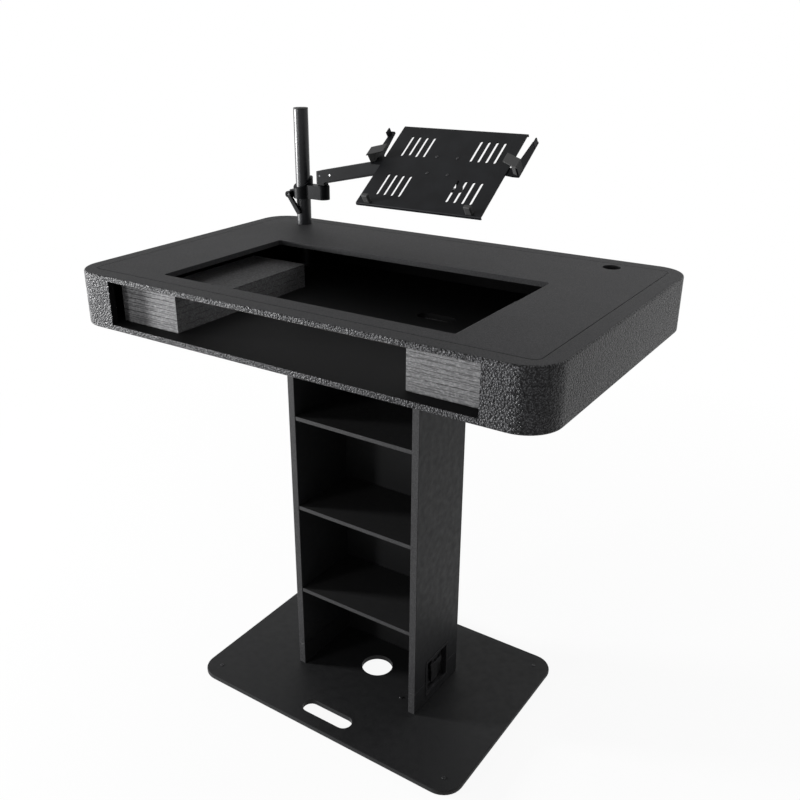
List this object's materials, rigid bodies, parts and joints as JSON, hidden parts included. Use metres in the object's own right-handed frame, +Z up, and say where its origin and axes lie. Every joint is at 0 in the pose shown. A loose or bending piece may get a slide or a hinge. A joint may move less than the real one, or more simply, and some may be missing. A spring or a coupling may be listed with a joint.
{
  "type": "dj podium stand",
  "caption": "Podium table with a rack bay and an equipment cut-out, on a shelved column and floor plate, with a mast, a sprung arm and a tilting device tray.",
  "frame": {"origin": "on the floor, under the middle of the table and of the floor plate", "axes": "+X to the right as its user stands before it, +Y to the back, +Z up"},
  "size_m": [1.06, 0.672, 1.288],
  "materials": {
    "coated_board": "plywood under a speckled dark grey sprayed texture coat",
    "top_coat": "plywood with a fine-grained charcoal coat",
    "dark_laminate": "board in a matt black laminate with grey textured edges",
    "grey_foam": "open-cell grey foam, cut in layers",
    "black_rubber": "matt black rubber",
    "black_steel": "satin black powder coat on steel",
    "black_casting": "satin black paint on cast aluminium",
    "bare_steel": "dull zinc-plated steel"
  },
  "bodies": {
    "stand": {"base_plate": "dark_laminate", "plinth_left": "dark_laminate", "plinth_right": "dark_laminate", "plinth_back": "dark_laminate", "column_left": "dark_laminate", "column_right": "dark_laminate", "column_back": "dark_laminate", "shelf_bottom": "dark_laminate", "shelf_middle": "dark_laminate", "shelf_top": "dark_laminate", "ledge_front": "dark_laminate", "ledge_back": "dark_laminate", "ledge_left": "dark_laminate", "ledge_right": "dark_laminate", "table_floor": "coated_board", "table_wall": "coated_board", "table_rim": "coated_board", "top_panel": "top_coat", "foam_left": "grey_foam", "foam_right": "grey_foam", "foot_front_left": "black_rubber", "foot_front_right": "black_rubber", "foot_back_left": "black_rubber", "foot_back_right": "black_rubber", "mast_socket_left": "black_steel", "mast_socket_right": "black_steel", "latch_dish_left": "black_steel", "latch_dish_right": "black_steel", "latch_strike_left": "black_steel", "latch_strike_right": "black_steel"},
    "mast": {"mast": "black_steel", "mast_cap": "black_rubber"},
    "collar": {"collar": "black_casting", "collar_bolt": "bare_steel"},
    "lever": {"collar_lever": "black_casting"},
    "knuckle": {"knuckle": "black_casting", "knuckle_pin_upper": "black_steel", "knuckle_pin_lower": "black_steel"},
    "arm": {"arm_channel": "black_casting", "gas_spring": "bare_steel"},
    "arm_link": {"arm_link": "black_casting"},
    "head": {"head_block": "black_casting", "head_pin_upper": "black_steel", "head_pin_lower": "black_steel"},
    "yoke": {"tilt_yoke": "black_casting", "tilt_bolt": "bare_steel"},
    "tilt": {"tilt_plate": "black_steel"},
    "tray": {"tray_plate": "black_steel", "tray_stop_left": "black_rubber", "tray_stop_right": "black_rubber"},
    "clamp_left": {"clamp_arm_left": "black_steel", "clamp_jaw_left": "black_rubber"},
    "clamp_right": {"clamp_arm_right": "black_steel", "clamp_jaw_right": "black_rubber"},
    "latch_handle_left": {"latch_handle_left": "black_steel"},
    "latch_handle_right": {"latch_handle_right": "black_steel"},
    "latch_hook_left": {"latch_hook_left": "black_steel"},
    "latch_hook_right": {"latch_hook_right": "black_steel"}
  },
  "joints": [
    {"name": "mast_swivel", "type": "hinge", "parent": "stand", "child": "mast", "pos_m": [-0.4, 0.272, 1], "axis": [0, 0, 1], "continuous": true},
    {"name": "collar_height", "type": "slide", "parent": "mast", "child": "collar", "axis": [0, 0, 1], "range_m": [-0.01, 0.15]},
    {"name": "lever_turn", "type": "hinge", "parent": "collar", "child": "lever", "pos_m": [-0.4285, 0.272, 1.0876], "axis": [0, 1, 0], "range_deg": [0, 120]},
    {"name": "arm_swivel", "type": "hinge", "parent": "collar", "child": "knuckle", "pos_m": [-0.338, 0.272, 1.1015], "axis": [0, 0, 1], "range_deg": [-135, 135]},
    {"name": "arm_lift", "type": "hinge", "parent": "knuckle", "child": "arm", "pos_m": [-0.338, 0.272, 1.1371], "axis": [0, -1, 0], "range_deg": [-12, 25]},
    {"name": "arm_link_turn", "type": "hinge", "parent": "knuckle", "child": "arm_link", "pos_m": [-0.338, 0.272, 1.1241], "axis": [0, -1, 0], "range_deg": [-12, 25]},
    {"name": "head_level", "type": "hinge", "parent": "arm", "child": "head", "pos_m": [-0.09835, 0.272, 1.18804], "axis": [0, -1, 0], "range_deg": [-25, 12]},
    {"name": "head_swivel", "type": "hinge", "parent": "head", "child": "yoke", "pos_m": [-0.06635, 0.272, 1.16404], "axis": [0, 0, 1], "range_deg": [0, 60]},
    {"name": "tray_tilt", "type": "hinge", "parent": "yoke", "child": "tilt", "pos_m": [0.04345, 0.2038, 1.17004], "axis": [1, 0, 0], "range_deg": [-5, 25]},
    {"name": "tray_turn", "type": "hinge", "parent": "tilt", "child": "tray", "pos_m": [0.04345, 0.1829, 1.19935], "axis": [0, -0.5807, 0.8141], "range_deg": [-20, 20]},
    {"name": "clamp_left_slide", "type": "slide", "parent": "tray", "child": "clamp_left", "axis": [-1, 0, 0], "range_m": [-0.02, 0.03]},
    {"name": "clamp_right_slide", "type": "slide", "parent": "tray", "child": "clamp_right", "axis": [1, 0, 0], "range_m": [-0.02, 0.03]},
    {"name": "latch_left_turn", "type": "hinge", "parent": "stand", "child": "latch_handle_left", "pos_m": [-0.167, 0, 0.1037], "axis": [-1, 0, 0], "range_deg": [0, 180]},
    {"name": "latch_right_turn", "type": "hinge", "parent": "stand", "child": "latch_handle_right", "pos_m": [0.167, 0, 0.1037], "axis": [1, 0, 0], "range_deg": [0, 180]},
    {"name": "latch_left_hook", "type": "slide", "parent": "stand", "child": "latch_hook_left", "axis": [0, 0, -1], "range_m": [0, 0.006]},
    {"name": "latch_right_hook", "type": "slide", "parent": "stand", "child": "latch_hook_right", "axis": [0, 0, -1], "range_m": [0, 0.006]}
  ],
  "couplings": [
    {"joint": "arm_link_turn", "follows": "arm_lift", "ratio": 1},
    {"joint": "head_level", "follows": "arm_lift", "ratio": -1},
    {"joint": "latch_left_hook", "follows": "latch_left_turn", "m_per_rad": 0.001878},
    {"joint": "latch_right_hook", "follows": "latch_right_turn", "m_per_rad": 0.001878}
  ]
}
